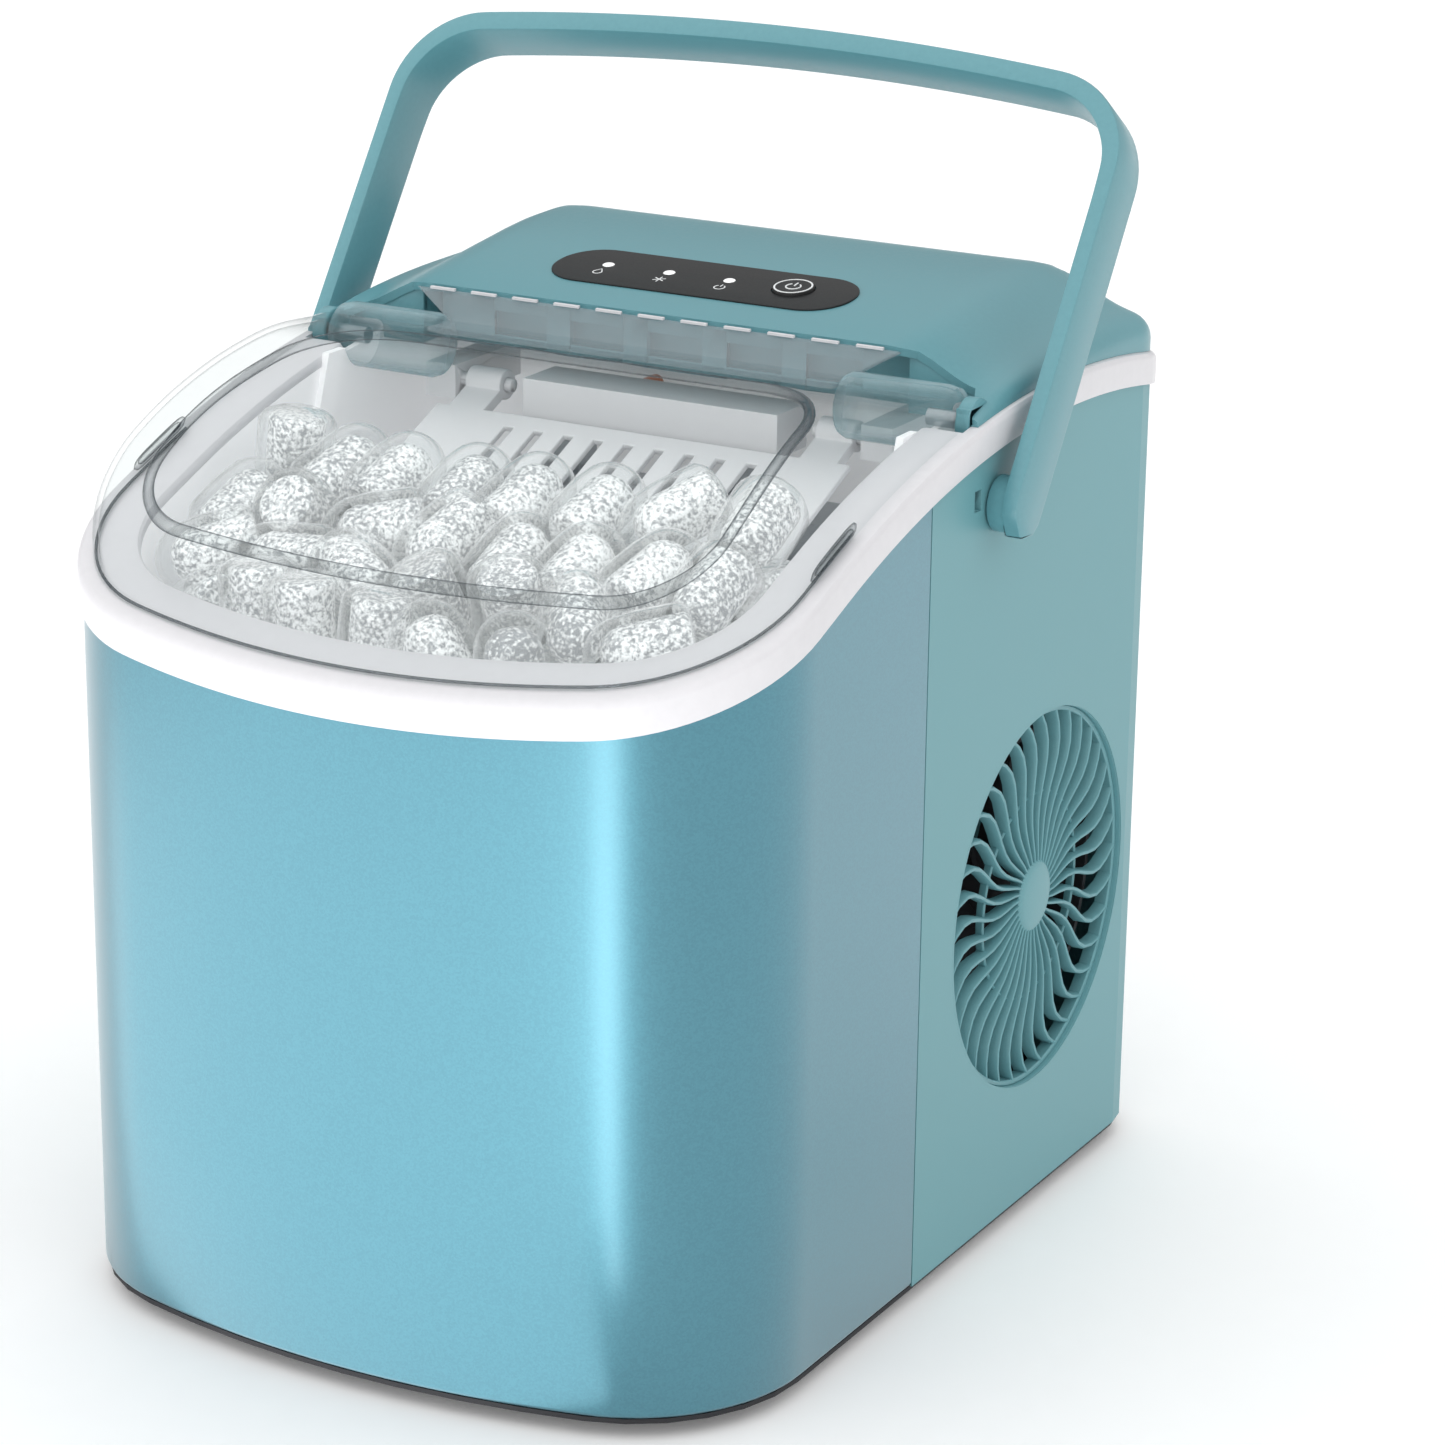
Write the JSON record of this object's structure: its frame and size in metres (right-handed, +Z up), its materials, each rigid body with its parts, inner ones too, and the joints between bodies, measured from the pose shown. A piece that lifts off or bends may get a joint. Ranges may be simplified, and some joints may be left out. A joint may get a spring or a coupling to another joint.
{
  "type": "ice maker",
  "caption": "Countertop ice maker with bowed front, clear hinged lid over an ice basket, leaning carrying handle, tilted control deck and round swirled side vent.",
  "frame": {"origin": "centre of the footprint on the worktop, under the rubber feet, midway between the rim's front and back and between the handle's two sides", "axes": "+Z up, -Y out of the bowed front, +X towards the round fan vent"},
  "size_m": [0.2406, 0.29, 0.3404],
  "materials": {
    "painted_steel": "satin metallic paint on the steel front wrap",
    "teal_abs": "fine moulded satin ABS, coloured through",
    "white_abs": "white moulded ABS, semi-gloss",
    "clear_lid": "clear injection-moulded plastic",
    "overlay_film": "dark printed control film",
    "lens_white": "milky indicator lens",
    "black_abs": "black moulded plastic",
    "foot_rubber": "soft black rubber",
    "plated_steel": "zinc-plated steel",
    "board": "green laminate circuit board",
    "copper_tube": "drawn copper tube",
    "alu_fins": "thin aluminium fins",
    "compressor_black": "black enamel on steel",
    "hose_clear": "milky silicone hose"
  },
  "bodies": {
    "housing": {"front_wrap": "painted_steel", "rear_housing": "teal_abs", "base_pan": "black_abs", "rubber_feet": "foot_rubber", "rim_trim": "white_abs", "ice_well": "white_abs", "top_cover": "teal_abs", "vent_grille": "teal_abs", "control_overlay": "overlay_film", "indicator_lenses": "lens_white", "control_board": "board", "lid_hinge_pins": "plated_steel", "handle_pins": "plated_steel", "shovel_pins": "plated_steel", "tray_motor": "white_abs", "tray_bearing": "white_abs", "evaporator": "plated_steel", "evaporator_cover": "white_abs", "refrigerant_pipes": "copper_tube", "compressor": "compressor_black", "compressor_grommets": "foot_rubber", "condenser": "alu_fins", "fan_motor": "plated_steel", "fan_shroud": "black_abs", "water_pump": "black_abs", "pump_hose": "hose_clear", "infrared_sensors": "black_abs", "drain_spout": "white_abs", "cord_gland": "black_abs", "housing_screws": "plated_steel"},
    "lid": {"lid": "clear_lid"},
    "handle": {"handle": "teal_abs"},
    "basket": {"ice_basket": "white_abs"},
    "shovel": {"ice_shovel": "white_abs"},
    "tray": {"water_tray": "white_abs"},
    "fan": {"fan_rotor": "black_abs"},
    "button": {"power_button": "overlay_film"},
    "plug": {"drain_plug": "foot_rubber"}
  },
  "joints": [
    {"name": "lid_hinge", "type": "hinge", "parent": "housing", "child": "lid", "pos_m": [0, 0.015, 0.2505], "axis": [-1, 0, 0], "range_deg": [0, 84]},
    {"name": "basket_lift", "type": "slide", "parent": "housing", "child": "basket", "axis": [0, 0, 1], "range_m": [0, 0.09]},
    {"name": "handle_fold", "type": "hinge", "parent": "housing", "child": "handle", "pos_m": [0, 0.022, 0.227], "axis": [-1, 0, 0], "range_deg": [-34, 32]},
    {"name": "tray_tilt", "type": "hinge", "parent": "housing", "child": "tray", "pos_m": [0, 0.022, 0.204], "axis": [1, 0, 0], "range_deg": [0, 60]},
    {"name": "shovel_swing", "type": "hinge", "parent": "housing", "child": "shovel", "pos_m": [0, 0.028, 0.238], "axis": [-1, 0, 0], "range_deg": [0, 25]},
    {"name": "fan_spin", "type": "hinge", "parent": "housing", "child": "fan", "pos_m": [0.09, 0.06, 0.099], "axis": [1, 0, 0], "continuous": true},
    {"name": "button_press", "type": "slide", "parent": "housing", "child": "button", "axis": [0, 0.1392, -0.9903], "range_m": [0, 0.0008], "stiffness_N_per_m": 600},
    {"name": "plug_pull", "type": "slide", "parent": "housing", "child": "plug", "axis": [-1, 0, 0], "range_m": [0, 0.014]}
  ],
  "couplings": [
    {"joint": "basket_lift", "follows": "lid_hinge", "m_per_rad": 0.061},
    {"joint": "shovel_swing", "follows": "tray_tilt", "ratio": 0.4166}
  ]
}
